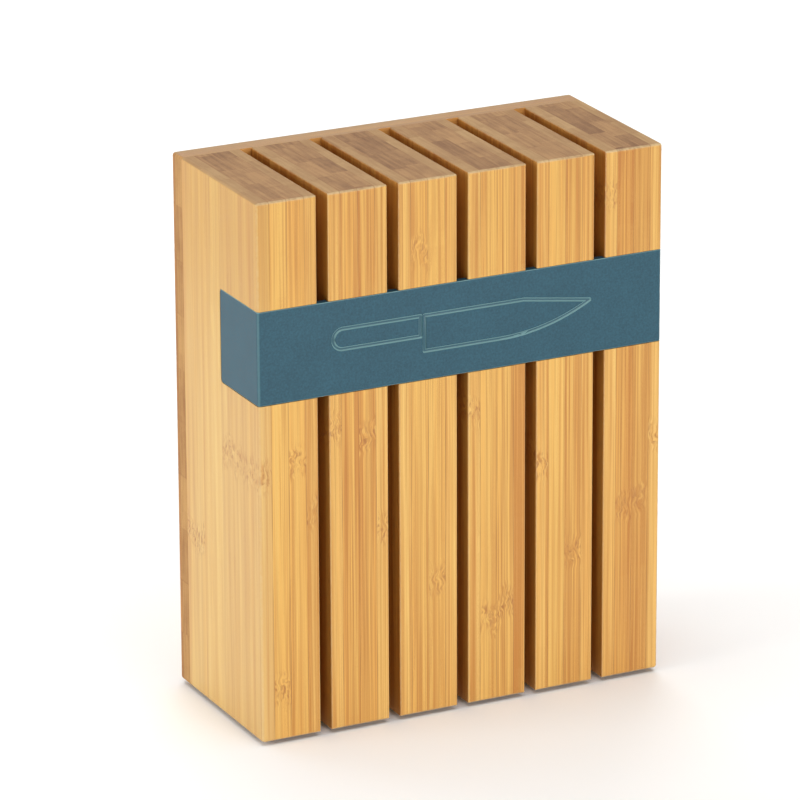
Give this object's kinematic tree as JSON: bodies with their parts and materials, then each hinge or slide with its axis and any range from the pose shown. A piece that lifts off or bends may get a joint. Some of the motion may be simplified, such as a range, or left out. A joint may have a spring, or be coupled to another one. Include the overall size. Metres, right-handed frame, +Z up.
{
  "type": "knife block",
  "caption": "Upright bamboo knife block: laminated bars with open blade slots between them, a back board and a moulded band wrapped flush round the front.",
  "frame": {"origin": "centre of the footprint, on the surface the feet stand on", "axes": "+X to the right seen from the front, +Y to the back board, +Z up"},
  "size_m": [0.17, 0.075, 0.2151],
  "materials": {
    "bamboo_face_ply": "oiled, side-pressed pale bamboo",
    "bamboo_core_ply": "oiled, darker core bamboo",
    "bamboo_stave": "oiled, sawn ends",
    "bamboo_rear_ply": "oiled, sanded",
    "band_plastic": "moulded, fine satin texture",
    "screw_steel": "zinc plated",
    "foot_rubber": "matt"
  },
  "bodies": {
    "root": {"bar_1_left_face_ply": "bamboo_face_ply", "bar_1_left_core_ply": "bamboo_core_ply", "bar_1_right_core_ply": "bamboo_core_ply", "bar_1_right_face_ply": "bamboo_face_ply", "bar_2_left_face_ply": "bamboo_face_ply", "bar_2_left_core_ply": "bamboo_core_ply", "bar_2_right_core_ply": "bamboo_core_ply", "bar_2_right_face_ply": "bamboo_face_ply", "bar_3_left_face_ply": "bamboo_face_ply", "bar_3_left_core_ply": "bamboo_core_ply", "bar_3_right_core_ply": "bamboo_core_ply", "bar_3_right_face_ply": "bamboo_face_ply", "bar_4_left_face_ply": "bamboo_face_ply", "bar_4_left_core_ply": "bamboo_core_ply", "bar_4_right_core_ply": "bamboo_core_ply", "bar_4_right_face_ply": "bamboo_face_ply", "bar_5_left_face_ply": "bamboo_face_ply", "bar_5_left_core_ply": "bamboo_core_ply", "bar_5_right_core_ply": "bamboo_core_ply", "bar_5_right_face_ply": "bamboo_face_ply", "bar_6_left_face_ply": "bamboo_face_ply", "bar_6_left_core_ply": "bamboo_core_ply", "bar_6_right_core_ply": "bamboo_core_ply", "bar_6_right_face_ply": "bamboo_face_ply", "back_stave_01": "bamboo_stave", "back_stave_02": "bamboo_stave", "back_stave_03": "bamboo_stave", "back_stave_04": "bamboo_stave", "back_stave_05": "bamboo_stave", "back_stave_06": "bamboo_stave", "back_stave_07": "bamboo_stave", "back_stave_08": "bamboo_stave", "back_stave_09": "bamboo_stave", "back_stave_10": "bamboo_stave", "back_rear_ply": "bamboo_rear_ply", "front_band": "band_plastic", "back_screws": "screw_steel", "foot_front_left": "foot_rubber", "foot_front_right": "foot_rubber", "foot_back_left": "foot_rubber", "foot_back_right": "foot_rubber"}
  },
  "joints": []
}
